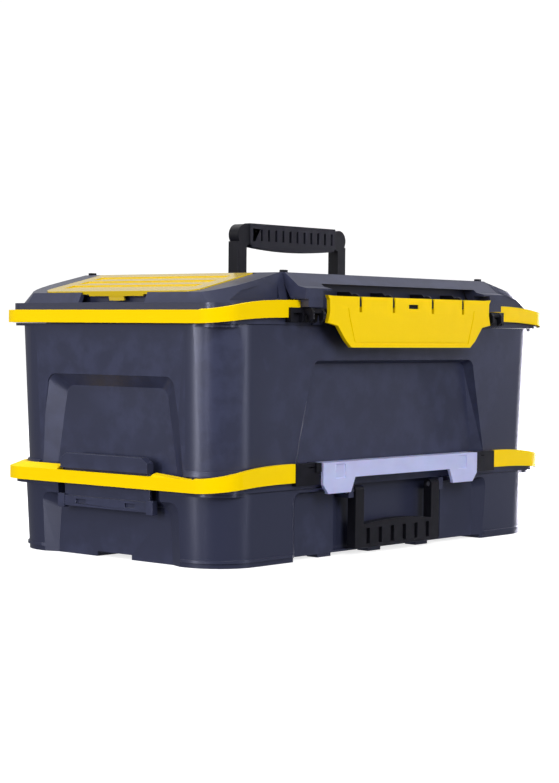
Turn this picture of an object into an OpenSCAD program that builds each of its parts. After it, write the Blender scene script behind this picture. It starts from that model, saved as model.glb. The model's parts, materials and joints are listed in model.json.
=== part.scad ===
// Two-tier toolbox: a shallow lower bin and a deep upper box with a sliding tray,
// a lid with two flip-top organizers, clip latches and a folding carry handle.
// Origin: centre of the footprint on the floor. +X right, +Y rear, +Z up.

/* [Overall] */
// Length over the yellow rims
rim_l = 484; // [470:1:500]
// Depth over the yellow rims
rim_d = 272; // [266:1:280]
// Outer corner radius of the lower rim
rim_r = 30; // [28:1:34]
// Outer corner radius of the upper rim
rim2_r = 25; // [24:1:30]
// Wall thickness of the mouldings
wall = 2.6; // [2.2:0.1:3]

/* [Lower bin] */
// Height of the lower tub to its rim
low_h = 62; // [58:1:66]
// Height of the side rims
rim_h = 11; // [10:1:13]

/* [Upper box] */
// Height of the upper tub alone
up_h = 129; // [120:1:140]
// Height of the lid crest above the upper tub rim
crest_h = 44.4; // [42:0.2:47]
// Height of the carry handle above the crest
handle_h = 49; // [44:1:54]

/* [Tray] */
// Length of the sliding tray
tray_l = 290; // [260:2:296]
// Height of the tray
tray_h = 22; // [16:1:23]

/* [Fits] */
// Running clearance on a pin radius
run = 0.05; // [0.02:0.01:0.1]
// Gap between parts that move past each other
gap = 0.4; // [0.3:0.05:0.6]

/* [Hidden] */
$fn = 64;

body_col = "#3b3e4e";
black_col = "#232327";
yellow_col = "#f2cf00";
clear_col = "#b8bde6";
pin_col = "#8d8f93";
eps = 0.01;
big = 600;

// dividers of the lower bin
divider_t = 2;
divider_x = 110;
divider_y = 36;

// levels
lid1_z = low_h + gap;            // underside of the lower lid
seat_z = low_h + 10;             // top of the lower lid plate
up_z = seat_z + gap;             // underside of the upper tub
lid2_z = up_z + up_h + gap;      // underside of the upper lid
crest_z = lid2_z + crest_h;      // top of the lid
rim_t = 4;                       // thickness of the rims
rim1_end = 147;                  // where the lower front rim stops beside its latch
rim2_end = 143;                  // and the upper one
flange_t = 2.4;                  // flange under each rim
flange_in = 3;                   // how far it stands back from the skirt
edge_z = 3.2;                    // underside of the long walls between the feet
floor_z = 4.2;                   // underside of the floor between the corner feet
skirt_l = rim_l - 2 * rim_t;
skirt_d = rim_d - 2 * rim_t;

// tub outlines: [length, depth, corner radius]
low_bot = [rim_l - 22, rim_d - 16, 41];
low_top = [rim_l - 14, rim_d - 12, 43];
up_bot = [rim_l - 22, rim_d - 16, 40];
up_top = [rim_l - 12, rim_d - 10, 40];

// recessed panels
panel_in = 8;                    // depth of the recesses
front_half_low = 143;            // half width of the lower front recess
front_half_bot = 143;            // half width of the upper front recess at its foot
front_half_top = 119;            // and at its top
facet_w = 12;                    // width of the slanted facet beside a recess
front_rec_z = up_z + 99;         // top of the upper front recess
side_half_bot = 88;
side_half_top = 77;
side_rec_z = up_z + 85;

// hinges
hinge_y = rim_d / 2 + 7;
hinge_r = 5;
hinge_x = [-150, 0, 150];
hinge_w = 44;                    // length of one hinge group
pin_r = 2;
hinge1_z = low_h;
hinge2_z = lid2_z - gap;

// upper front latch
latch_y = -rim_d / 2 - 5.5;      // pivot
latch_z = lid2_z + 20;
latch_face = -rim_d / 2 - 12;    // outer face
latch_half = 121;
latch_t = 3.6;
latch_bot = lid2_z - 19;
window_half = 7;                 // half width of the window in its face
finger_x = [-76, -29, 29, 76];
finger_w = 2.4;
bay_half = 113;                  // deep middle of the latch bay
bay_y = -rim_d / 2 + 14;         // its back
brow_half = 147;                 // half length of the brow over the bay
brow_y = -rim_d / 2 - 9;         // front of the brow

ledge_rise = 4.4;                // rise of the cushion on the lower rim
ledge_y0 = -105;                 // where the cushion starts to rise
ledge_y1 = -62;                  // where it reaches its full height
foot_x = [-90, -19, 52];         // small feet under the front wall
foot_half = 9;
lug_in = 63;                     // inner end of the lugs that carry the front handle
lug_out = 70;

// lower front latch
latch1_y = -rim_d / 2 + 1.5;
latch1_z = low_h + 18.5;
latch1_face = -rim_d / 2 - 3.5;
latch1_half = 114;
latch1_t = 3;

// lower front handle
grip1_y = -rim_d / 2 + 7;
grip1_z = low_h - 5;
grip1_half = 62;
grip1_leg = 12;
grip1_bot = 6;

// side latches
rock_x = rim_l / 2 - 7.5;
rock_z = low_h + 7;

// carry handle
bail_z = crest_z - 8;
bail_half = 78;
bail_leg = 12;
bail_r = 6;
bail_top = crest_z + handle_h;
grip_low = bail_top - 22;
grip_half = 62;                  // half length of the ribbed grip
belly_r = 560;                   // radius of its sagging underside
handle_pin_r = 3;
pocket_half = bail_half + 1.5;
pocket_floor = crest_z - 25;
pocket_back = bail_top - bail_z + 6;

// organizers
slope_x0 = 150;                  // where the top starts to fall away
slope_x1 = rim_l / 2 - 13;
slope_z1 = crest_z - 18.3;
slope_a = atan((crest_z - slope_z1) / (slope_x1 - slope_x0));
frame_bot = [466, 250, 24];      // outline of the raised frame at its foot
frame_top = [460, 238, 60];      // and at the crest
step_z = lid2_z + 17.2;
flip_x = slope_x0 + 4;           // hinge line of a flip lid
flip_z = crest_z - 2.9;
flip_l = 74;
flip_half = 93;
flip_t = 3;
flip_r = 12;
flip_end = flip_x + (flip_l + 1) * cos(slope_a);
rod_r = 1.2;
well_x0 = 164;
well_x1 = 217;
well_half = 84;
well_floor = lid2_z + 5;

// tray rails
rail_z = up_z + 104;
tray_half = 121;
tray_z = rail_z + gap;

// ---- outlines ---------------------------------------------------------

module rounded(l, d, r) {
    square([l - 2 * r, d], center = true);
    square([l, d - 2 * r], center = true);
    for (sx = [-1, 1], sy = [-1, 1])
        translate([sx * (l / 2 - r), sy * (d / 2 - r)]) circle(r);
}

module slab(l, d, r, z0, z1) {
    translate([0, 0, z0]) linear_extrude(z1 - z0) rounded(l, d, r);
}

// A solid that tapers between two rounded outlines
module taper(a, b, z0, z1, t) {
    hull() {
        slab(a[0] - 2 * t, a[1] - 2 * t, a[2] - t, z0, z0 + eps, $fn = 32);
        slab(b[0] - 2 * t, b[1] - 2 * t, b[2] - t, z1 - eps, z1, $fn = 32);
    }
}

// Box from low corner to high corner
module block(a, b) {
    translate(a) cube([b[0] - a[0], b[1] - a[1], b[2] - a[2]]);
}

module x_rod(r, x0, x1, y, z) {
    translate([x0, y, z]) rotate([0, 90, 0]) cylinder(r = r, h = x1 - x0);
}

module y_rod(r, y0, y1, x, z) {
    translate([x, y0, z]) rotate([-90, 0, 0]) cylinder(r = r, h = y1 - y0);
}

// Half of a recess outline: foot at z0, rounded shoulder at z1
function shoulder(hb, ht, z0, z1, r) = concat(
    [[hb, z0]],
    [for (a = [0:18:90]) [ht - r + r * cos(a), z1 - r + r * sin(a)]]
);

function outline(hb, ht, z0, z1, r) = let (side = shoulder(hb, ht, z0, z1, r), n = len(side))
    concat(side, [for (i = [n - 1:-1:0]) [-side[i][0], side[i][1]]]);

// Cutter for a recessed panel in the front face: slanted sides and a sloping top.
// wide and narrow are [half width at the foot, half width at the top].
module panel_cut(face, wide, narrow, z0, z1, drop, g) {
    rim = outline(wide[0] + g, wide[1] + g, z0, z1 + g, 9);
    bed = outline(narrow[0] + g, narrow[1] + g, z0, z1 - drop + g, 9);
    n = len(rim);
    pts = concat(
        [for (p = rim) [p[0], -face - 12, p[1]]],
        [for (p = rim) [p[0], -face, p[1]]],
        [for (p = bed) [p[0], -face + panel_in + g, p[1]]]
    );
    polyhedron(pts, concat(
        [[for (i = [n - 1:-1:0]) i]],
        [[for (i = [0:n - 1]) 2 * n + i]],
        [for (k = [0, n], i = [0:n - 1]) let (j = (i + 1) % n) [k + n + j, k + n + i, k + i]],
        [for (k = [0, n], i = [0:n - 1]) let (j = (i + 1) % n) [k + j, k + n + j, k + i]]
    ));
}

// ---- lower bin --------------------------------------------------------

module low_recesses(g) {
    wide = [front_half_low, front_half_low];
    narrow = [front_half_low - facet_w, front_half_low - facet_w];
    for (s = [0, 180]) rotate([0, 0, s])
        panel_cut(low_top[1] / 2, wide, narrow, -1, low_h - 3, 2, g);
    for (s = [90, -90]) rotate([0, 0, s])
        panel_cut(low_top[0] / 2 - 1, [side_half_bot + 2, side_half_bot - 5],
                  [side_half_bot - 18, side_half_bot - 21], -1, low_h - 9, 6, g);
    // pocket behind the front handle
    block([-79 - g, -rim_d / 2, 5 - g], [79 + g, -low_top[1] / 2 + 14 + g, low_h + 1]);
    // room for the side latches
    for (s = [-1, 1])
        block_s(s, [low_top[0] / 2 - panel_in - g, -62 - g, 36], [rim_l, 62 + g, low_h + 1]);
}

module lower_tub() color(body_col) {
    difference() {
        union() {
            difference() {
                union() {
                    taper(low_bot, low_top, 0, low_h, 0);
                    // the flange stands back under the rim except at the hinges
                    translate([0, flange_in / 2, low_h - flange_t])
                        slab(skirt_l - 2 * flange_in, skirt_d - flange_in, rim_r - rim_t, 0, flange_t);
                    slab(low_bot[0] + 3, low_bot[1] + 3, 42, floor_z, floor_z + 2.5);
                }
                low_recesses(0);
                difference() {
                    taper(low_bot, low_top, floor_z + wall, low_h + 5, wall);
                    low_recesses(wall);
                }
            }
            // lugs that carry the front handle
            for (s = [-1, 1])
                block_s(s, [lug_in, -rim_d / 2 + 4, low_h - 11],
                        [lug_out, -low_top[1] / 2 + 16, low_h]);
        }
        x_rod(2.5 + run, -72, 72, grip1_y, grip1_z);
        // room for the front handle in the rim
        block([-grip1_half - 0.6, -rim_d / 2, low_h - 12],
              [grip1_half + 0.6, grip1_y + 7, low_h + 1]);
        // the floor is raised between the corner feet
        for (y = [-1, 1])
            block([-138, min(y * 108, y * 200), -1], [138, max(y * 108, y * 200), edge_z]);
        block([-138, -108, -1], [138, 108, floor_z]);
        for (s = [-1, 1])
            block_s(s, [130, -21, -1], [300, 21, floor_z]);
    }
    // small feet under the front wall
    for (x = foot_x)
        block([x - foot_half, -low_top[1] / 2 + 8.8, 0.2],
              [x + foot_half, -low_top[1] / 2 + 21, floor_z + 0.5]);
}

module lower_dividers() color(black_col) {
    z0 = floor_z + wall + 0.1;
    z1 = low_h - 10;
    for (y = [-divider_y, divider_y])
        block([-212, y - divider_t / 2, z0], [212, y + divider_t / 2, z1]);
    for (x = [-divider_x, divider_x], y = [-71.6, 0, 71.6])
        block([x - divider_t / 2, y - 34.3, z0], [x + divider_t / 2, y + 34.3, z1]);
}

module lower_handle() color(black_col) {
    y0 = grip1_y - 4.5;
    slots = 6;
    pitch = 17.6;
    difference() {
        union() {
            for (s = [-1, 1]) {
                block([min(s * grip1_half, s * (grip1_half - grip1_leg)), y0, grip1_bot],
                      [max(s * grip1_half, s * (grip1_half - grip1_leg)), y0 + 9, grip1_z]);
                x_rod(4.5, min(s * grip1_half, s * (grip1_half - grip1_leg)),
                      max(s * grip1_half, s * (grip1_half - grip1_leg)), grip1_y, grip1_z);
            }
            block([-grip1_half, y0, grip1_bot], [grip1_half, y0 + 9, 25]);
            // arched upper edge of the grip
            intersection() {
                block([-grip1_half, y0, 20], [grip1_half, y0 + 9, 31]);
                translate([0, y0 + 9, -370.5]) rotate([90, 0, 0]) cylinder(r = 400, h = 9, $fn = 256);
            }
        }
        for (i = [0:slots - 1])
            translate([(i - (slots - 1) / 2) * pitch, y0 - 1, 0]) {
                block([-2.8, 0, grip1_bot + 3], [2.8, 4, 23]);
            }
        x_rod(2.5 + run, -70, 70, grip1_y, grip1_z);
    }
}

module lower_handle_pins() color(pin_col)
    for (s = [-1, 1])
        x_rod(2.5, min(s * 51, s * 69.6), max(s * 51, s * 69.6), grip1_y, grip1_z);

module lower_hinge_pin() color(pin_col)
    for (x = hinge_x)
        x_rod(pin_r, x - hinge_w / 2, x + hinge_w / 2, hinge_y, hinge1_z);

// ---- lower lid --------------------------------------------------------

// Outer knuckles, bolted to the rear edge of a tub
module tub_knuckles(z) {
    for (x = hinge_x, s = [-1, 1])
        difference() {
            union() {
                x_rod(hinge_r, x + s * 16 - 6, x + s * 16 + 6, hinge_y, z);
                block([x + s * 16 - 6, skirt_d / 2 + eps, z - flange_t], [x + s * 16 + 6, hinge_y, z]);
            }
            x_rod(pin_r + run, -200, 200, hinge_y, z);
        }
}

// Middle knuckles, on the rear edge of a lid
module lid_knuckles(z) {
    for (x = hinge_x)
        difference() {
            union() {
                x_rod(hinge_r, x - 9.6, x + 9.6, hinge_y, z);
                block([x - 9.6, skirt_d / 2 + eps, z + gap], [x + 9.6, hinge_y, z + hinge_r]);
            }
            x_rod(pin_r + run, -200, 200, hinge_y, z);
        }
}

module knuckle_room(z) {
    for (x = hinge_x, s = [-1, 1])
        x_rod(hinge_r + gap + 0.2, x + s * 16 - 6.4, x + s * 16 + 6.4, hinge_y, z);
}

module lower_knuckles() color(body_col) tub_knuckles(hinge1_z);
module lower_lid_knuckles() color(body_col) lid_knuckles(hinge1_z);
module upper_knuckles() color(body_col) tub_knuckles(hinge2_z);
module upper_lid_knuckles() color(body_col) lid_knuckles(hinge2_z);

module side_slots() {
    for (s = [-1, 1])
        block_s(s, [rock_x - 3.6, -57.5, lid1_z - 5], [rim_l, 57.5, seat_z + 20]);
}

module lower_lid() color(body_col) {
    difference() {
        slab(skirt_l, skirt_d, rim_r - rim_t, lid1_z, seat_z + 0.8);
        slab(skirt_l - 8, skirt_d - 6, rim_r - 8, seat_z, seat_z + 5);
        slab(skirt_l - 12, skirt_d - 12, rim_r - 8, lid1_z - 1, seat_z - 4);
        knuckle_room(hinge1_z);
        side_slots();
        // bay for the front latch
        block([-latch1_half - 1.4, -rim_d / 2 - 1, lid1_z - 1],
              [latch1_half + 1.4, -rim_d / 2 + 10.4, seat_z + 10]);
        for (s = [-1, 1])
            y_rod(1.5 + run, -64, 64, s * rock_x, rock_z);
    }
    // floor of the latch bay
    block([-latch1_half - 1, -rim_d / 2 + 10.4, lid1_z], [latch1_half + 1, -rim_d / 2 + 13.4, seat_z]);
}

// Elevation of the front run of a rim, which sweeps up from the corners to its ends at x_end
function sweep(x, x_end) = let (t = (rim_l / 2 - x) / (rim_l / 2 - x_end - 8))
    (1 - cos(180 * sqrt(min(1, max(0, t))))) / 2;

module rim_front(z0, rise_b, rise_t, x_end) {
    xs = concat([rim_l / 2 + 1], [for (i = [0:10]) rim_l / 2 - i * (rim_l / 2 - x_end) / 10]);
    for (s = [-1, 1])
        polygon(concat(
            [for (x = xs) [s * x, z0 + rise_b * sweep(x, x_end)]],
            [for (i = [len(xs) - 1:-1:0]) [s * xs[i], z0 + rim_h + rise_t * sweep(xs[i], x_end)]]
        ));
}

module rim_ring(z0, r, rise_b, rise_t, x_end) {
    y_split = -rim_d / 2 + r;
    intersection() {
        difference() {
            slab(rim_l, rim_d, r, z0, z0 + rim_h + rise_t);
            slab(skirt_l + 0.1, skirt_d + 0.1, r - rim_t, z0 - 1, z0 + rim_h + rise_t + 1);
        }
        union() {
            block([-rim_l, y_split, z0], [rim_l, rim_d, z0 + rim_h]);
            translate([0, y_split, 0]) rotate([90, 0, 0]) linear_extrude(r + 5)
                rim_front(z0, rise_b, rise_t, x_end);
        }
    }
}

// Rounded plate 1 mm thick between two depths
module rear_slab(l, y0, y1, r, z) {
    translate([0, (y0 + y1) / 2, 0]) slab(l, y1 - y0, r, z, z + 1, $fn = 32);
}

module hinge_gaps(z) {
    for (x = hinge_x)
        block([x - hinge_w / 2 - 1, rim_d / 2 - 12, z - 10], [x + hinge_w / 2 + 1, rim_d, z + 6]);
}

module lower_rim() color(yellow_col) {
    z0 = lid1_z + 0.6;
    z1 = z0 + rim_h;
    difference() {
        union() {
            rim_ring(z0, rim_r, 5.3, 10.4, rim1_end);
            // cushion that slopes up from the top edge to the foot of the upper tub
            difference() {
                hull() {
                    rear_slab(rim_l - 1, ledge_y0, rim_d / 2 - 0.5, rim_r - 1, z1 - 1);
                    rear_slab(rim_l - 15, ledge_y1, rim_d / 2 - 6, rim_r + 4, z1 + ledge_rise - 1);
                }
                slab(up_bot[0] + 5, up_bot[1] + 5, 42, z0, z0 + big);
            }
        }
        hinge_gaps(hinge1_z);
        for (s = [-1, 1])
            block_s(s, [rock_x - 3.6, -57.5, z0 - 1], [skirt_l / 2 + 0.1, 57.5, z0 + big]);
        for (s = [-1, 1])
            block_s(s, [rock_x - 3.6, -57.5, z1], [big, 57.5, z0 + big]);
    }
}

module lower_latch_brackets() color(black_col)
    for (s = [-1, 1])
        difference() {
            union() {
                block_s(s, [latch1_half + 1.4, -rim_d / 2 - 0.5, lid1_z + 3],
                        [rim1_end - 0.4, -skirt_d / 2, lid1_z + 22]);
                block_s(s, [latch1_half + 1.4, -rim_d / 2 - 2.5, lid1_z + 14],
                        [latch1_half + 8, -skirt_d / 2 + 4.5, lid1_z + 22]);
            }
            x_rod(pin_r + run, -130, 130, latch1_y, latch1_z);
        }

// Elevation of the lower latch
module latch1_outline() {
    polygon([
        [-latch1_half, low_h + 22], [latch1_half, low_h + 22],
        [latch1_half, low_h + 3], [latch1_half - 7, low_h - 5],
        [76, low_h - 5], [70, low_h + 8],
        [-70, low_h + 8], [-76, low_h - 5],
        [-latch1_half + 7, low_h - 5], [-latch1_half, low_h + 3]
    ]);
}

module lower_latch() color(clear_col)
    difference() {
        union() {
            translate([0, latch1_face + latch1_t, 0]) rotate([90, 0, 0])
                linear_extrude(latch1_t) latch1_outline();
            // top flange and pivot barrel
            x_rod(3.6, -latch1_half, latch1_half, latch1_y, latch1_z);
            block([-latch1_half, latch1_face + 1, latch1_z], [latch1_half, latch1_y, low_h + 22]);
            block([-latch1_half, latch1_y, low_h + 20.4], [latch1_half, latch1_y + 8.5, low_h + 22]);
            // hooks under the tub rim
            for (s = [-1, 1])
                block([min(s * 80, s * 104), latch1_face + 1, low_h - 5],
                      [max(s * 80, s * 104), -skirt_d / 2 - gap, low_h - 4 - gap]);
        }
        x_rod(pin_r + run, -130, 130, latch1_y, latch1_z);
        // thin windows over the hooks
        for (s = [-1, 1])
            block_s(s, [84, -rim_d, low_h + 8], [97, latch1_face + 1, low_h + 20]);
    }

module lower_latch_pins() color(pin_col)
    for (s = [-1, 1])
        x_rod(pin_r, min(s * 100, s * 121), max(s * 100, s * 121), latch1_y, latch1_z);

// ---- side latches -----------------------------------------------------

// Rocker that stands in front of the upper tub and hangs under the rim
module rocker(s) {
    x_in = rock_x - 1.5;
    color(body_col) difference() {
        union() {
            block_s(s, [x_in, -52, low_h - 10], [x_in + 3, 52, low_h + 24]);
            y_rod(2.7, -52, 52, s * rock_x, rock_z);
            // upper pad with chamfered shoulders
            translate([s < 0 ? -x_in - 8 : x_in, 0, 0]) rotate([90, 0, 90]) linear_extrude(8)
                polygon([
                    [-53, low_h + 14], [53, low_h + 14], [53, low_h + 22.5],
                    [46, low_h + 27], [-46, low_h + 27], [-53, low_h + 22.5]
                ]);
            // lower bar with its end hooks
            block_s(s, [x_in, -57, low_h - 19], [x_in + 5, 57, low_h - 10]);
            for (y = [-54, 54])
                block_s(s, [x_in, y - 4, low_h - 20.5], [x_in + 6, y + 4, low_h - 8.5]);
        }
        // finger notches
        for (y = [-30, 30])
            block_s(s, [x_in + 3, y - 6, low_h - 16], [x_in + 8, y + 6, low_h - 12.5]);
        y_rod(1.5 + run, -70, 70, s * rock_x, rock_z);
    }
}

module block_s(s, a, b) {
    block([min(s * a[0], s * b[0]), a[1], a[2]], [max(s * a[0], s * b[0]), b[1], b[2]]);
}

module side_latch_left() rocker(-1);
module side_latch_right() rocker(1);

module side_latch_pins() color(pin_col)
    for (s = [-1, 1])
        y_rod(1.5, -62, 62, s * rock_x, rock_z);

// ---- upper tub --------------------------------------------------------

module up_recesses(g) {
    for (s = [0, 180]) rotate([0, 0, s])
        panel_cut(up_top[1] / 2 - 2, [front_half_bot, front_half_top],
                  [front_half_bot - facet_w, front_half_top - 2], up_z - 1, front_rec_z, 3, g);
    for (s = [90, -90]) rotate([0, 0, s])
        panel_cut(up_top[0] / 2 - 3, [side_half_bot + 2, side_half_top],
                  [side_half_bot - 14, side_half_top - 15], up_z - 1, side_rec_z, 10, g);
}

module upper_tub() color(body_col) {
    rim_z = up_z + up_h;
    difference() {
        union() {
            taper(up_bot, up_top, up_z, rim_z, 0);
            translate([0, flange_in / 2, rim_z - flange_t])
                slab(skirt_l - 2 * flange_in, skirt_d - flange_in - 1, rim2_r - rim_t, 0, flange_t);
        }
        up_recesses(0);
        difference() {
            taper(up_bot, up_top, up_z + wall, rim_z + 5, wall);
            up_recesses(wall);
        }
    }
    // foot flange
    difference() {
        slab(up_bot[0] + 4, up_bot[1] + 4, 42, up_z + 3, up_z + 8);
        slab(up_bot[0] - 20, up_bot[1] - 20, 30, up_z, up_z + 10);
        block([-front_half_bot, -big, 0], [front_half_bot, big, crest_z]);
        block([-big, -side_half_bot, 0], [big, side_half_bot, crest_z]);
    }
    // tray rails
    for (s = [-1, 1])
        block([-205, min(s * 129, s * 115), rail_z - 3], [205, max(s * 129, s * 115), rail_z]);
    // catch lip for the front latch
    block([-80, -rim_d / 2 - 1.6, rim_z - 12], [80, -skirt_d / 2 + 2, rim_z - 9]);
    block([-80, -rim_d / 2 - 1, rim_z - 12], [80, -skirt_d / 2 + 4, rim_z]);
}

module upper_hinge_pin() color(pin_col)
    for (x = hinge_x)
        x_rod(pin_r, x - hinge_w / 2, x + hinge_w / 2, hinge_y, hinge2_z);

// ---- tray -------------------------------------------------------------

module tray() color(black_col) {
    d = 2 * tray_half;
    difference() {
        slab(tray_l, d, 14, tray_z, tray_z + tray_h);
        for (sx = [-1, 1], sy = [-1, 0, 1])
            translate([sx * (tray_l / 4 + 5), sy * d / 3, 0])
                slab(tray_l / 2 - 16, d / 3 - 2.4, 8, tray_z + 2, tray_z + tray_h + 1);
        slab(14, d - 6, 5, tray_z + 2, tray_z + tray_h + 1);
    }
}

module tray_grip() color(yellow_col)
    difference() {
        block([-5, -60, tray_z + 2 + eps], [5, 60, tray_z + tray_h + 2]);
        block([-6, -48, tray_z + 6], [6, 48, tray_z + tray_h - 5]);
    }

// ---- upper lid --------------------------------------------------------

// Outer form of the lid, t mm inside the surface: a plinth, a step and a frame
// whose top falls away from the crest to both ends
module lid_form(t) {
    slab(skirt_l - 0.2 - 2 * t, skirt_d - 0.2 - 2 * t, rim2_r - rim_t - t, lid2_z - eps, lid2_z + rim_h);
    slab(rim_l - 11 - 2 * t, rim_d - 11 - 2 * t, rim2_r - 5 - t, lid2_z - eps, step_z - t);
    intersection() {
        taper(frame_bot, frame_top, step_z - t - eps, crest_z, t);
        rotate([90, 0, 0]) translate([0, 0, -rim_d]) linear_extrude(2 * rim_d)
            polygon([
                [t - frame_bot[0] / 2, step_z - t - eps], [frame_bot[0] / 2 - t, step_z - t - eps],
                [slope_x1 - t, slope_z1 - t], [slope_x0 - t / 4, crest_z - t],
                [t / 4 - slope_x0, crest_z - t], [t - slope_x1, slope_z1 - t]
            ]);
    }
}

// Lens-shaped hollows between the ridge and the plinth
module lid_hollows() {
    for (sx = [0, 1], sy = [0, 1])
        mirror([sx, 0, 0]) mirror([0, sy, 0])
            translate([0, -frame_bot[1] / 2 + 3.6, 0]) rotate([90, 0, 0]) linear_extrude(10)
                polygon([
                    [slope_x1 - 12, step_z + 2], [203, slope_z1 + 1.5], [182, crest_z - 12.5],
                    [slope_x0 + 6, crest_z - 5.5], [slope_x0 + 6, step_z + 5], [190, step_z + 2.5]
                ]);
}

// Frame of one flip lid: local x runs down the slope away from the hinge
module on_slope(s) {
    translate([s * flip_x, 0, flip_z]) mirror([s < 0 ? 1 : 0, 0, 0]) rotate([0, slope_a, 0]) children();
}

module flip_outline(g) {
    translate([1 - g, -flip_half - g]) square([flip_l - flip_r + g, 2 * (flip_half + g)]);
    translate([1 - g, -flip_half + flip_r - g]) square([flip_l + 2 * g, 2 * (flip_half - flip_r + g)]);
    for (s = [-1, 1])
        translate([1 + flip_l - flip_r, s * (flip_half - flip_r)]) circle(flip_r + g);
}

module upper_lid() color(body_col) {
    difference() {
        union() {
            difference() {
                lid_form(0);
                lid_form(3);
                lid_hollows();
            }
            intersection() {
                lid_form(0);
                union() {
                    for (s = [-1, 1])
                        block_s(s, [well_x0 - 2.5, -well_half - 2.5, well_floor - 2.5],
                                [well_x1 + 2.5, well_half + 2.5, crest_z]);
                    for (s = [-1, 1])
                        block_s(s, [flip_x - 7, -flip_half - 3, flip_z - 8],
                                [well_x0, flip_half + 3, crest_z]);
                    block([-pocket_half - 10, -14, pocket_floor - 3],
                          [pocket_half + 10, pocket_back + 4, crest_z]);
                }
            }
            // brow that overhangs the front rim, with a post at each end
            rotate([90, 0, 90]) translate([0, 0, -brow_half]) linear_extrude(2 * brow_half)
                polygon([
                    [-117, crest_z - 3], [-117, crest_z], [-122, crest_z],
                    [brow_y + 8, crest_z - 11.7], [brow_y, crest_z - 13.4], [brow_y, crest_z - 22.5],
                    [-skirt_d / 2 + 3, crest_z - 22.5]
                ]);
            for (s = [-1, 1])
                block_s(s, [latch_half + 1, brow_y + 0.2, lid2_z + 15],
                        [rim2_end - 0.4, -rim_d / 2 + 5.2, crest_z - 22]);
        }
        knuckle_room(hinge2_z);
        // organizer wells
        for (s = [-1, 1])
            block_s(s, [well_x0, -well_half, well_floor], [well_x1, well_half, crest_z + 1]);
        for (s = [-1, 1]) {
            // seat of the flip lid and groove of its hinge
            on_slope(s) translate([0, 0, -0.5]) linear_extrude(20) flip_outline(0.6);
            on_slope(s) y_rod(4.2, -flip_half - 0.8, flip_half + 0.8, 0, 0);
            y_rod(rod_r + run, -flip_half - 6, flip_half + 6, s * flip_x, flip_z);
            // finger notch in the end wall
            block_s(s, [flip_end - 4, -40, slope_z1 - 8.5], [rim_l / 2, 40, slope_z1 + 10]);
        }
        // pocket for the folded carry handle
        block([-pocket_half, -8, pocket_floor], [pocket_half, pocket_back, crest_z + 1]);
        x_rod(handle_pin_r + run, -pocket_half - 7, pocket_half + 7, 0, bail_z);
        // bay for the front latch, deeper in its middle
        block([-latch_half - 2.5, -rim_d, lid2_z - 1], [latch_half + 2.5, -rim_d / 2 + 2.5, latch_z + 9.4]);
        block([-bay_half, -rim_d, latch_z - 6], [bay_half, bay_y, crest_z - 9]);
    }
    // back wall of the latch bay
    block([-latch_half - 2.3, -rim_d / 2 + 2.5, lid2_z], [latch_half + 2.3, -rim_d / 2 + 6, latch_z - 6]);
    block([-bay_half, -rim_d / 2 + 3, latch_z - 8], [bay_half, bay_y + 1, latch_z - 6]);
    block([-bay_half, bay_y, latch_z - 8], [bay_half, bay_y + 3, crest_z - 7]);
}

module upper_rim() color(yellow_col)
    difference() {
        rim_ring(lid2_z + 0.2, rim2_r, 5.7, 9.5, rim2_end);
        hinge_gaps(hinge2_z);
        // the rim narrows to a strip beside the catch brackets
        block([-158, -rim_d, lid2_z - 1], [158, -rim_d / 2 + 20, lid2_z + 14.5]);
    }

// Side view of one arched cheek of a catch bracket
module cheek_outline() {
    polygon([
        [-rim_d / 2 - 1, lid2_z + 2.6], [-rim_d / 2 - 1, lid2_z + 14], [brow_y - 1, lid2_z + 14],
        [brow_y - 3, lid2_z + 11], [brow_y - 3, lid2_z + 5], [brow_y + 1, lid2_z + 1.5],
        [brow_y + 2, lid2_z + 8], [-rim_d / 2 - 4, lid2_z + 9.4], [-rim_d / 2 - 3, lid2_z + 2.6]
    ]);
}

module catch_brackets() color(black_col)
    for (s = [-1, 1]) {
        x0 = latch_half + 2.8;
        x1 = rim2_end - 2;
        // back plate with its pocket
        difference() {
            block_s(s, [x0, -rim_d / 2 - 2, lid2_z + 2], [157.6, -skirt_d / 2 - 0.2, lid2_z + 14.4]);
            block_s(s, [x0 + 5, -rim_d, lid2_z + 4], [x1 - 5, -rim_d / 2 + 1.5, lid2_z + 9]);
            block_s(s, [x1 + 2, -rim_d, lid2_z + 1], [x1 + 13, -rim_d / 2 + 1.5, lid2_z + 10]);
        }
        for (x = [x0 + 0.4, x1 - 3])
            translate([s < 0 ? -x - 3 : x, 0, 0]) rotate([90, 0, 90]) linear_extrude(3) cheek_outline();
        // bar that joins the cheeks
        block_s(s, [x0 + 2, brow_y - 1.6, lid2_z + 9.9], [x1 - 2, -rim_d / 2 - 0.6, lid2_z + 13.6]);
    }

// Hooks that reach from the lid over the top of the latch and end at its face
module latch_fingers() color(black_col) {
    back = bay_y - 0.1 - latch_y;
    for (x = finger_x)
        difference() {
            translate([x - finger_w / 2, latch_y, latch_z]) rotate([90, 0, 90]) linear_extrude(finger_w)
                polygon(concat(
                    [[4.6, -3.2], [6, 4], [back, 4], [back, 9.4], [6, 9.2]],
                    [for (a = [60:20:180]) [-0.2 + 6.1 * cos(a), 0.8 + 6.9 * sin(a)]],
                    [[-6.3, -3.4], [-4, -4.6], [0, -5]]
                ));
            x_rod(pin_r + run, -130, 130, latch_y, latch_z);
        }
}

module upper_latch_pin() color(pin_col)
    x_rod(pin_r, -112, 112, latch_y, latch_z);

// Elevation of the upper latch, with an ear at each top corner
module latch_outline() {
    side = [
        [latch_half, latch_z + 5.6], [latch_half - 2.6, latch_z + 2], [latch_half - 3.2, latch_z - 9],
        [latch_half - 0.6, latch_z - 18], [107, latch_z - 20.5], [96, latch_bot + 6], [88, latch_bot]
    ];
    polygon(concat(
        [[latch_half - 8, latch_z + 5]], side,
        [for (i = [len(side) - 1:-1:0]) [-side[i][0], side[i][1]]],
        [[8 - latch_half, latch_z + 5]]
    ));
}

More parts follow.
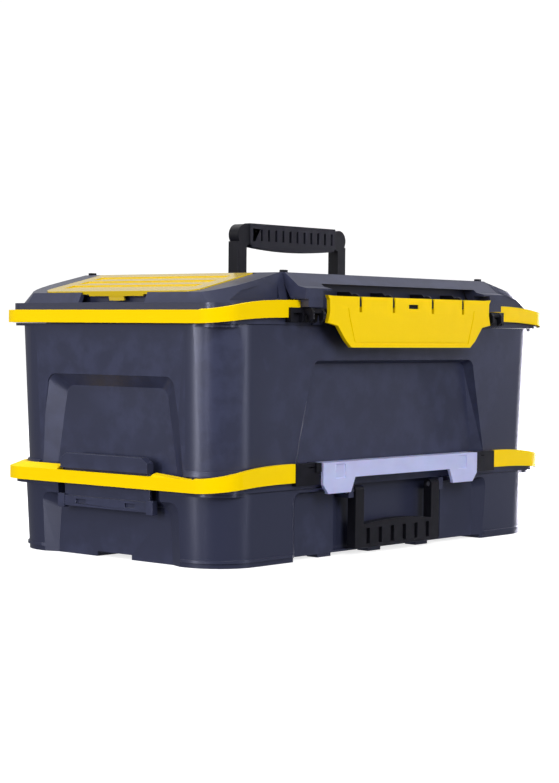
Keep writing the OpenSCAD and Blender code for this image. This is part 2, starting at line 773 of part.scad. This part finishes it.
// Shallow groove that follows the sides and foot of the latch
module latch_groove(t) {
    polygon([
        [-96 - t, latch_z + 9], [-92 - t, latch_z - 12], [-84 - t, latch_bot + 4 - t],
        [84 + t, latch_bot + 4 - t], [92 + t, latch_z - 12], [96 + t, latch_z + 9]
    ]);
}

module upper_latch() color(yellow_col)
    difference() {
        union() {
            translate([0, latch_face + latch_t, 0]) rotate([90, 0, 0]) linear_extrude(latch_t)
                latch_outline();
            // pivot barrels
            for (x = [-98, -52, 52, 98]) {
                x_rod(4.4, x - 9, x + 9, latch_y, latch_z);
                block([x - 9, latch_face + 1, latch_z - 4.4], [x + 9, latch_y, latch_z + 4.4]);
            }
            // hook under the catch lip
            block([-74, latch_face + 1, latch_bot + 1], [74, -rim_d / 2 - 2, lid2_z - 13]);
        }
        for (x = finger_x)
            block([x - finger_w / 2 - 0.6, -rim_d, latch_z - 8.4],
                  [x + finger_w / 2 + 0.6, -rim_d / 2 + 2, latch_z + 9]);
        // window and shallow groove in the face
        block([-window_half, -rim_d, latch_z - 4.4], [window_half, -rim_d / 2, latch_z - 0.6]);
        translate([0, latch_face + 0.5, 0]) rotate([90, 0, 0]) linear_extrude(5) difference() {
            latch_groove(0.7);
            latch_groove(-0.7);
            translate([-latch_half, latch_z - 5]) square([2 * latch_half, 20]);
        }
        x_rod(pin_r + run, -130, 130, latch_y, latch_z);
    }

// Dark plate with a slit, set just under the face of the latch
module latch_window() color(black_col)
    difference() {
        block([0.1 - window_half, latch_face + 0.6, latch_z - 4.3],
              [window_half - 0.1, latch_face + 3, latch_z - 0.7]);
        block([1.4 - window_half, latch_face, latch_z - 2.9],
              [window_half - 1.4, latch_face + 1.4, latch_z - 2.1]);
    }

module crest_bumpers() color(black_col)
    for (sx = [-1, 1], sy = [-1, 1])
        translate([sx * 143, sy * 117, crest_z + 1.1]) cube([7, 4, 2.2], center = true);

// ---- carry handle -----------------------------------------------------

module handle_bail() color(black_col)
    difference() {
        union() {
            for (s = [-1, 1]) {
                block_s(s, [bail_half - bail_leg, -bail_r, bail_z], [bail_half, bail_r, grip_low + 5]);
                x_rod(bail_r, min(s * bail_half, s * (bail_half - bail_leg)),
                      max(s * bail_half, s * (bail_half - bail_leg)), 0, bail_z);
            }
            // spine of the grip
            block([-bail_half + 6, -bail_r, grip_low + 4], [bail_half - 6, bail_r, bail_top - 4]);
            for (s = [-1, 1])
                translate([s * (bail_half - 10), bail_r, bail_top - 11]) rotate([90, 0, 0])
                    cylinder(r = 10, h = 2 * bail_r);
        }
        x_rod(handle_pin_r + run, -90, 90, 0, bail_z);
        // seat of the ribbed grip
        block([-grip_half, -7, grip_low + 2], [grip_half, 1.5, bail_top]);
    }

module handle_rib_grip() color(black_col) {
    ribs = 12;
    pitch = 10.2;
    difference() {
        union() {
            block([0.1 - grip_half, -bail_r - 0.4, grip_low + 2.1], [grip_half - 0.1, 1.4, bail_top]);
            // belly of the grip
            intersection() {
                block([2 - grip_half, -bail_r - 0.4, grip_low - 4], [grip_half - 2, 1.4, grip_low + 3]);
                translate([0, 1.4, grip_low - 3 + belly_r]) rotate([90, 0, 0])
                    cylinder(r = belly_r, h = bail_r + 1.8, $fn = 256);
            }
        }
        for (i = [0:ribs - 1])
            translate([(i - (ribs - 1) / 2) * pitch, 0, 0])
                block([-1.3, -10, grip_low + 6], [1.3, -bail_r + 3, bail_top - 5]);
    }
}

module handle_palm_swell() color(black_col)
    translate([0, bail_r + 0.05, bail_top - 11]) rotate([0, 90, 0]) translate([0, 0, -66])
        difference() {
            cylinder(r = 8, h = 132);
            block([-9, -9, -1], [9, 0, 133]);
        }

module handle_pins() color(pin_col)
    for (s = [-1, 1])
        x_rod(handle_pin_r, min(s * 68, s * (pocket_half + 6)),
              max(s * 68, s * (pocket_half + 6)), 0, bail_z);

// ---- organizers -------------------------------------------------------

module flip_lid(s) color(yellow_col)
    difference() {
        on_slope(s) {
            difference() {
                translate([0, 0, -0.1]) linear_extrude(flip_t) flip_outline(0);
                // sunk panels between lengthwise ribs
                for (u = [19:18:55])
                    block([u - 6.4, -flip_half + 14, flip_t - 1.1], [u + 6.4, flip_half - 14, flip_t + 1]);
            }
            for (y = [-70, 0, 70]) {
                y_rod(2.4, y - 12, y + 12, 0, 0);
                block([0, y - 12, -0.1], [4, y + 12, 2.3]);
            }
            // turned-down lip and pull tab over the finger notch
            block([flip_l - 1.5, -33, -1.6], [flip_l + 1, 33, 0]);
            block([flip_l - 1, -9, -5.5], [flip_l + 0.8, 9, -1.4]);
        }
        y_rod(rod_r + run, -flip_half - 6, flip_half + 6, s * flip_x, flip_z);
    }

module organizer_lid_left() flip_lid(-1);
module organizer_lid_right() flip_lid(1);

module organizer_hinge_rods() color(pin_col)
    for (s = [-1, 1])
        y_rod(rod_r, -flip_half - 5, flip_half + 5, s * flip_x, flip_z);

module organizer_dividers() color(black_col)
    for (s = [-1, 1], y = [-31, 31])
        block_s(s, [well_x0 + 0.1, y - 1, well_floor + 0.1], [well_x1 - 0.1, y + 1, slope_z1 - 8]);

// ---- assembly ---------------------------------------------------------

lower_tub();
lower_knuckles();
lower_dividers();
lower_handle();
lower_handle_pins();
lower_hinge_pin();
lower_lid();
lower_lid_knuckles();
lower_rim();
lower_latch_brackets();
lower_latch();
lower_latch_pins();
side_latch_left();
side_latch_right();
side_latch_pins();
upper_tub();
upper_knuckles();
upper_hinge_pin();
tray();
tray_grip();
upper_lid();
upper_lid_knuckles();
upper_rim();
catch_brackets();
latch_fingers();
upper_latch_pin();
upper_latch();
latch_window();
crest_bumpers();
handle_bail();
handle_rib_grip();
handle_palm_swell();
handle_pins();
organizer_lid_left();
organizer_lid_right();
organizer_hinge_rods();
organizer_dividers();
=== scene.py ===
import json
import math

import bpy
from mathutils import Matrix, Vector

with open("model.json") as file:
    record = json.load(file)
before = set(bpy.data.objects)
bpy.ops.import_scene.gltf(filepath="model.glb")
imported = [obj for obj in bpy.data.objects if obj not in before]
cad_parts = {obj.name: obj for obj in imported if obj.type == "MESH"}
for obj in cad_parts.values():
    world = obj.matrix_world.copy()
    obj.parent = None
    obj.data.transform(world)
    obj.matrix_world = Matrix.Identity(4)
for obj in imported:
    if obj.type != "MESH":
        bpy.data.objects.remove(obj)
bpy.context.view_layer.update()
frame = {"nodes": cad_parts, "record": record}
MM = 0.001

# ---- camera, lights and floor ------------------------------------------------

CAMERA_AT = Vector((-1.3733, -1.1761, 0.1949))
HEADING, PITCH, ROLL = math.radians(49.19), math.radians(-1.76), math.radians(0.59)
LENS = 87.86
SENSOR = 36
NEAR, FAR = 0.05, 60


def make_camera():
    """Studio camera to the front left of the box, almost level."""
    level = math.cos(PITCH)
    forward = Vector((math.sin(HEADING) * level, math.cos(HEADING) * level, math.sin(PITCH)))
    right = forward.cross(Vector((0, 0, 1))).normalized()
    up = right.cross(forward)
    right, up = (
        right * math.cos(ROLL) + up * math.sin(ROLL),
        up * math.cos(ROLL) - right * math.sin(ROLL),
    )
    data = bpy.data.cameras.new("camera")
    data.lens = LENS
    data.sensor_width = SENSOR
    data.clip_start, data.clip_end = NEAR, FAR
    camera = bpy.data.objects.new("camera", data)
    turn = Matrix((right, up, -forward)).transposed().to_4x4()
    camera.matrix_world = Matrix.Translation(CAMERA_AT) @ turn
    bpy.context.scene.collection.objects.link(camera)
    bpy.context.scene.camera = camera


FROM_BELOW, OVERHEAD = 0.16, 0.62
FADE_LOW, FADE_HIGH = -0.3, 0.6
RANGE_KEYS = ("From Min", "From Max", "To Min", "To Max")


def softbox(name, at, aim, size, power, tint):
    data = bpy.data.lights.new(name, "AREA")
    data.shape = "RECTANGLE"
    data.size, data.size_y = size
    data.energy = power
    data.color = tint
    lamp = bpy.data.objects.new(name, data)
    lamp.location = at
    lamp.rotation_euler = (Vector(aim) - Vector(at)).to_track_quat("-Z", "Y").to_euler()
    bpy.context.scene.collection.objects.link(lamp)


def make_world():
    """Soft room light: brightest overhead, dim from below."""
    world = bpy.data.worlds.new("studio")
    world.use_nodes = True
    nodes, links = world.node_tree.nodes, world.node_tree.links
    place = nodes.new("ShaderNodeTexCoord")
    split = nodes.new("ShaderNodeSeparateXYZ")
    fade = nodes.new("ShaderNodeMapRange")
    fade.interpolation_type = "SMOOTHSTEP"
    for key, value in zip(RANGE_KEYS, (FADE_LOW, FADE_HIGH, FROM_BELOW, OVERHEAD)):
        fade.inputs[key].default_value = value
    background = nodes["Background"]
    background.inputs["Color"].default_value = (1, 1, 1, 1)
    links.new(place.outputs["Generated"], split.inputs["Vector"])
    links.new(split.outputs["Z"], fade.inputs["Value"])
    links.new(fade.outputs["Result"], background.inputs["Strength"])
    bpy.context.scene.world = world


def seen_only(piece):
    """A stage piece that the camera sees and that casts no light on the toolbox."""
    piece.visible_diffuse = False
    piece.visible_glossy = False
    piece.visible_shadow = False


BACKDROP_STEPS, BACKDROP_RADIUS, BACKDROP_HEIGHT = 64, 20, 14
BELOW_FLOOR = -0.001
FLOOR_SIZE = 60

# white of the paper and how strongly it glows
BACKDROP_PAPER = (0.3, 0.95)
FLOOR_PAPER = (0.5, 0.76)


def make_backdrop():
    """White seamless paper in a wide ring round the floor."""
    steps, radius = BACKDROP_STEPS, BACKDROP_RADIUS
    mesh = bpy.data.meshes.new("backdrop")
    turns = [k * math.tau / steps for k in range(steps)]
    rim = [(radius * math.cos(turn), radius * math.sin(turn)) for turn in turns]
    points = [(x, y, z) for z in (BELOW_FLOOR, BACKDROP_HEIGHT) for x, y in rim]
    faces = [(k, (k + 1) % steps, steps + (k + 1) % steps, steps + k) for k in range(steps)]
    mesh.from_pydata(points, [], faces)
    backdrop = bpy.data.objects.new("backdrop", mesh)
    bpy.context.scene.collection.objects.link(backdrop)
    mesh.materials.append(paper("backdrop_paper", *BACKDROP_PAPER))
    seen_only(backdrop)


def make_floor():
    bpy.ops.mesh.primitive_plane_add(size=FLOOR_SIZE)
    floor = bpy.context.object
    floor.name = "floor"
    floor.data.materials.append(paper("floor_paper", *FLOOR_PAPER))
    seen_only(floor)


PLAIN = (1, 1, 1)
COOL = (0.84, 0.86, 1)

# name: place, aim, width and height, watts, tint
SOFTBOXES = {
    "key": ((-0.8, -2.6, 1.6), (0, 0, 0.1), (1.5, 1.5), 58, PLAIN),
    "left_strip": ((-2.3, 0.25, 0.4), (-0.2, 0, 0.12), (0.3, 1.3), 24, (0.92, 0.92, 1)),
    "left_edge": ((-2.2, -0.62, 0.4), (-0.2, 0, 0.12), (0.12, 1.3), 6, (0.88, 0.88, 1)),
    "side_fill": ((-2.0, 1.6, 0.9), (0, 0, 0.12), (0.9, 1.0), 8, (1, 0.98, 0.92)),
    "front_strip": ((0.7, -2.4, 0.2), (-0.2, 0, 0.05), (0.3, 0.9), 7, COOL),
    "right_strip": ((2.3, 0.2, 0.38), (0.2, 0, 0.12), (1.3, 1.15), 98, (0.9, 0.88, 1)),
    "top": ((0.0, 0.9, 2.3), (0, 0, 0.2), (2.2, 1.6), 36, PLAIN),
}


def make_studio():
    make_world()
    make_backdrop()
    make_floor()
    bpy.context.scene.view_settings.view_transform = "Standard"
    for name, row in SOFTBOXES.items():
        softbox(name, *row)


# ---- materials ---------------------------------------------------------------

NOISE_ROUGHNESS = 0.55


class Shader:
    """A Principled material with a few helpers for building its node tree."""

    def __init__(self, name, colour, roughness, **inputs):
        self.material = bpy.data.materials.new(name)
        self.material.use_nodes = True
        self.tree = self.material.node_tree
        self.bsdf = self.tree.nodes["Principled BSDF"]
        self.bsdf.inputs["Base Color"].default_value = (*colour, 1)
        self.bsdf.inputs["Roughness"].default_value = roughness
        for key, value in inputs.items():
            self.bsdf.inputs[key.replace("_", " ")].default_value = value
        self.place = self.node("ShaderNodeTexCoord").outputs["Object"]

    def node(self, kind, **settings):
        made = self.tree.nodes.new(kind)
        for key, value in settings.items():
            setattr(made, key, value)
        return made

    def link(self, a, b):
        self.tree.links.new(a, b)

    def noise(self, scale, detail, stretch=(1, 1, 1)):
        mapping = self.node("ShaderNodeMapping")
        mapping.inputs["Scale"].default_value = stretch
        self.link(self.place, mapping.inputs["Vector"])
        made = self.node("ShaderNodeTexNoise")
        made.inputs["Scale"].default_value = scale
        made.inputs["Detail"].default_value = detail
        made.inputs["Roughness"].default_value = NOISE_ROUGHNESS
        self.link(mapping.outputs["Vector"], made.inputs["Vector"])
        return made.outputs["Fac"]

    def remap(self, value, low, high, to_low, to_high):
        made = self.node("ShaderNodeMapRange")
        for key, number in zip(RANGE_KEYS, (low, high, to_low, to_high)):
            made.inputs[key].default_value = number
        self.link(value, made.inputs["Value"])
        return made.outputs["Result"]

    def mix(self, factor, a, b):
        made = self.node("ShaderNodeMix", data_type="RGBA")
        self.link(factor, made.inputs["Factor"])
        for socket, value in ((made.inputs["A"], a), (made.inputs["B"], b)):
            if isinstance(value, tuple):
                socket.default_value = (*value, 1)
            else:
                self.link(value, socket)
        return made.outputs["Result"]

    def colour(self, value):
        self.link(value, self.bsdf.inputs["Base Color"])

    def rough(self, value):
        self.link(value, self.bsdf.inputs["Roughness"])

    def bump(self, layers):
        """layers: (height, strength, distance in metres), fine to coarse."""
        normal = None
        for height, strength, distance in layers:
            made = self.node("ShaderNodeBump")
            made.inputs["Strength"].default_value = strength
            made.inputs["Distance"].default_value = distance
            self.link(height, made.inputs["Height"])
            if normal is not None:
                self.link(normal, made.inputs["Normal"])
            normal = made.outputs["Normal"]
        self.link(normal, self.bsdf.inputs["Normal"])

    def edges(self, low, high):
        """Bright where the surface is convex, for wear along edges."""
        return self.remap(self.node("ShaderNodeNewGeometry").outputs["Pointiness"], low, high, 0, 1)


def shade(colour, factor):
    return tuple(min(1, c * factor) for c in colour)


# noise scale and detail, then bump distance in metres
GRAIN, GRAIN_DEPTH = (2600, 2), 0.00008
WAVES, WAVE_STRENGTH, WAVE_DEPTH = (12, 1), 0.007, 0.0005
FLOW_CLOUDS = (9, 4)
RUBBING = (60, 5)
SMEARS = (26, 5, (1, 1, 3))
CONVEX_FROM, CONVEX_TO = 0.52, 0.62


def moulded(name, colour, roughness, grain, worn=1.5, **inputs):
    """Injection-moulded plastic: fine spark-eroded grain, faint flow clouds, rubbed edges."""
    s = Shader(name, colour, roughness, **inputs)
    clouds = s.remap(s.noise(*FLOW_CLOUDS), 0.3, 0.7, 0, 1)
    base = s.mix(clouds, shade(colour, 0.985), shade(colour, 1.015))
    rub = s.node("ShaderNodeMath", operation="MULTIPLY")
    s.link(s.edges(CONVEX_FROM, CONVEX_TO), rub.inputs[0])
    s.link(s.remap(s.noise(*RUBBING), 0.42, 0.62, 0.1, 0.8), rub.inputs[1])
    s.colour(s.mix(rub.outputs["Value"], base, shade(colour, worn)))
    smear = s.noise(*SMEARS)
    s.rough(s.remap(smear, 0.25, 0.75, roughness - 0.01, roughness + 0.015))
    s.bump([(s.noise(*GRAIN), grain, GRAIN_DEPTH), (s.noise(*WAVES), WAVE_STRENGTH, WAVE_DEPTH)])
    return s.material


def glossy_moulded(name, colour, roughness, **inputs):
    """Polished mould face: slight sink ripples and handling smears."""
    s = Shader(name, colour, roughness, **inputs)
    clouds = s.remap(s.noise(7, 3), 0.3, 0.7, 0, 1)
    s.colour(s.mix(clouds, shade(colour, 0.95), shade(colour, 1.04)))
    smear = s.noise(40, 2, (1, 0.2, 1))
    s.rough(s.remap(smear, 0.3, 0.7, roughness, roughness + 0.04))
    s.bump([(s.noise(10, 1), 0.02, 0.0004)])
    return s.material


def milky(name, colour):
    """Natural polypropylene: milky, slightly see-through, cloudy inside."""
    s = Shader(
        name, colour, 0.34, Transmission_Weight=0.3, IOR=1.49, Subsurface_Weight=0.25,
        Subsurface_Scale=0.004, Coat_Weight=0.15, Coat_Roughness=0.2
    )
    clouds = s.remap(s.noise(30, 4, (1, 1, 2)), 0.3, 0.7, 0, 1)
    s.colour(s.mix(clouds, shade(colour, 0.94), shade(colour, 1.05)))
    s.rough(s.remap(s.noise(90, 3), 0.3, 0.7, 0.28, 0.42))
    s.bump([(s.noise(2200, 2), 0.1, 0.00006), (s.noise(35, 1), 0.06, 0.0005)])
    return s.material


STEEL, STEEL_DARK, STEEL_LIGHT = (0.55, 0.55, 0.57), (0.42, 0.42, 0.44), (0.66, 0.66, 0.68)


def drawn_steel(name):
    """Bright wire with fine drawing lines along x."""
    s = Shader(name, STEEL, 0.32, Metallic=1.0)
    lines = s.noise(420, 3, (0.06, 1, 1))
    s.colour(s.mix(lines, STEEL_DARK, STEEL_LIGHT))
    s.rough(s.remap(lines, 0.3, 0.7, 0.24, 0.42))
    s.bump([(lines, 0.08, 0.00005)])
    return s.material


def paper(name, white, glow):
    """Seamless studio paper, evenly lit from behind."""
    s = Shader(name, (white,) * 3, 0.9, Emission_Color=(1, 1, 1, 1), Emission_Strength=glow)
    s.bsdf.inputs["Specular IOR Level"].default_value = 0
    s.colour(s.mix(s.noise(0.6, 2), (white,) * 3, (white * 1.03,) * 3))
    return s.material


BODY = (0.023, 0.026, 0.052)
BLACK = (0.006, 0.006, 0.009)
GRIP = (0.006, 0.006, 0.011)
YELLOW = (0.88, 0.6, 0.0)
POLISHED_YELLOW = (0.66, 0.46, 0.004)
MILKY_BLUE = (0.62, 0.65, 0.95)


def make_finishes():
    """One material for each material slot of the record."""
    return {
        "body_plastic": moulded(
            "body_plastic", BODY, 0.31, grain=0.14, Specular_Tint=(0.86, 0.88, 1, 1)
        ),
        "black_plastic": moulded(
            "black_plastic", BLACK, 0.42, grain=0.3, worn=2.0, Specular_IOR_Level=0.14
        ),
        "grip_plastic": moulded(
            "grip_plastic", GRIP, 0.5, grain=0.35, worn=2.0, Specular_IOR_Level=0.16
        ),
        "yellow_plastic": moulded(
            "yellow_plastic", YELLOW, 0.46, grain=0.1, worn=1.06, Specular_IOR_Level=0.12,
            Specular_Tint=(1, 0.8, 0.05, 1)
        ),
        "gloss_yellow": glossy_moulded(
            "gloss_yellow", POLISHED_YELLOW, 0.2, Coat_Weight=0.9, Coat_Roughness=0.12
        ),
        "clear_plastic": milky("clear_plastic", MILKY_BLUE),
        "steel_pin": drawn_steel("steel_pin"),
    }


# ---- finishing the CAD pieces ------------------------------------------------

WELD_DISTANCE = 0.00002
FLAT_ANGLE = math.radians(0.5)
SHARP_ANGLE = math.radians(20)
BEVEL_STEPS = 3
COMMON_EDGE = 0.5
FACE_WEIGHT = 60

# edge radius in mm where it is not the common one
EDGE = {
    "upper_latch": 0.9, "lower_latch": 0.7, "upper_rim": 0.8, "lower_rim": 0.8,
    "upper_lid": 0.9, "upper_tub": 0.9, "lower_tub": 0.9,
    "lower_handle": 1.1, "handle_bail": 1.6, "handle_rib_grip": 0.8,
}


def round_edges(piece, radius, merge_flat):
    """Weld the imported faces, merge flat ones where asked and bevel the sharp edges."""
    weld = piece.modifiers.new("weld", "WELD")
    weld.merge_threshold = WELD_DISTANCE
    if merge_flat:
        flat = piece.modifiers.new("flat", "DECIMATE")
        flat.decimate_type = "DISSOLVE"
        flat.angle_limit = FLAT_ANGLE
    bevel = piece.modifiers.new("bevel", "BEVEL")
    bevel.width = radius * MM
    bevel.segments = BEVEL_STEPS
    bevel.limit_method = "ANGLE"
    bevel.angle_limit = SHARP_ANGLE
    bevel.miter_outer = "MITER_ARC"
    even = piece.modifiers.new("even", "WEIGHTED_NORMAL")
    even.weight = FACE_WEIGHT
    piece.data.polygons.foreach_set("use_smooth", [True] * len(piece.data.polygons))
    piece.data.update()


def dress(finishes):
    """Finish and edges for each CAD node; merged faces would shade the flip lids unevenly."""
    slots = {row["node"]: row["material_slot"] for row in frame["record"]["subparts"]}
    for name, piece in frame["nodes"].items():
        piece.data.materials.clear()
        piece.data.materials.append(finishes[slots[name]])
        round_edges(piece, EDGE.get(name, COMMON_EDGE), "organizer_lid" not in name)


make_camera()
make_studio()
dress(make_finishes())
